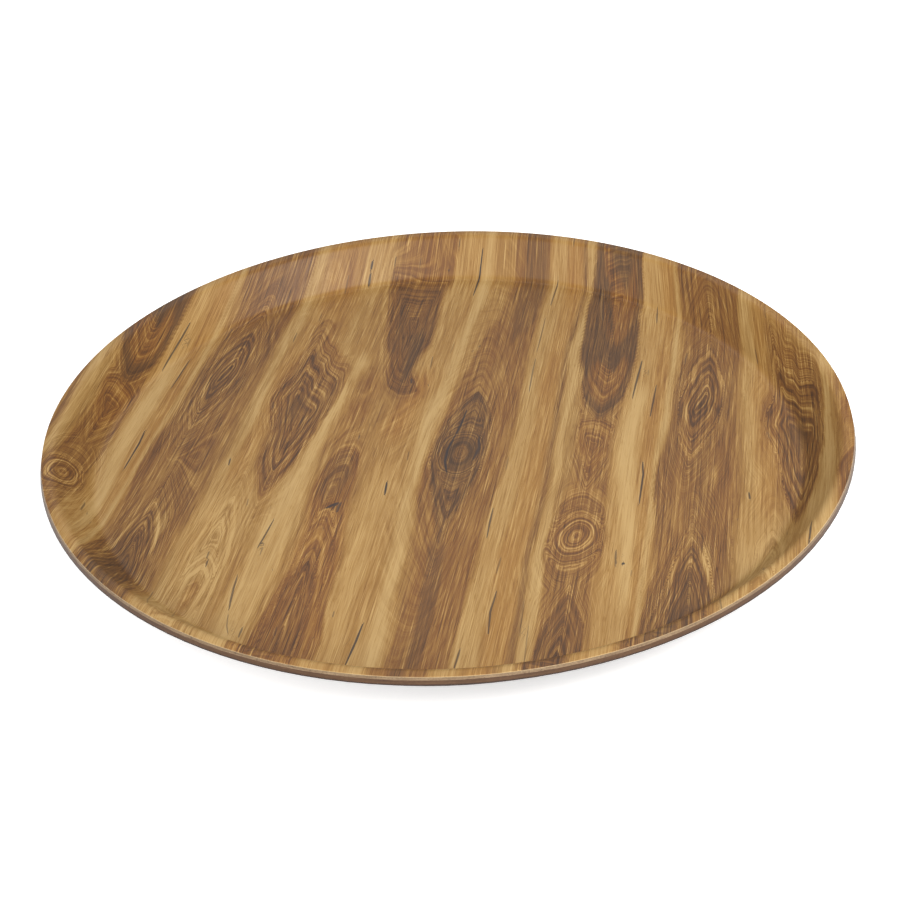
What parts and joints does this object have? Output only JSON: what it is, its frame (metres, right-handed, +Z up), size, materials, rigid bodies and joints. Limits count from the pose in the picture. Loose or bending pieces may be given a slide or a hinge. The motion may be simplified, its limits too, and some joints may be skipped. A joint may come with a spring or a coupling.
{
  "type": "round serving tray",
  "caption": "Round wood-look serving tray: flat well, short sloped wall and a narrow flat lip with a cut laminate edge.",
  "frame": {"origin": "centre of the flat underside, on the surface that the tray stands on", "axes": "+Z up along the tray's axis of symmetry; the wood grain runs roughly along +Y; +X to the right"},
  "size_m": [0.3821, 0.3822, 0.0233],
  "materials": {
    "wood_face": "satin wood-print melamine",
    "cream_sheet": "cut edge, matt",
    "pale_core": "cut fibre edge, raw",
    "brown_core": "cut edge, smooth",
    "dark_back": "satin melamine"
  },
  "bodies": {
    "root": {"face_sheet": "wood_face", "barrier_sheet": "cream_sheet", "pale_core": "pale_core", "brown_core": "brown_core", "back_sheet": "dark_back"}
  },
  "joints": []
}
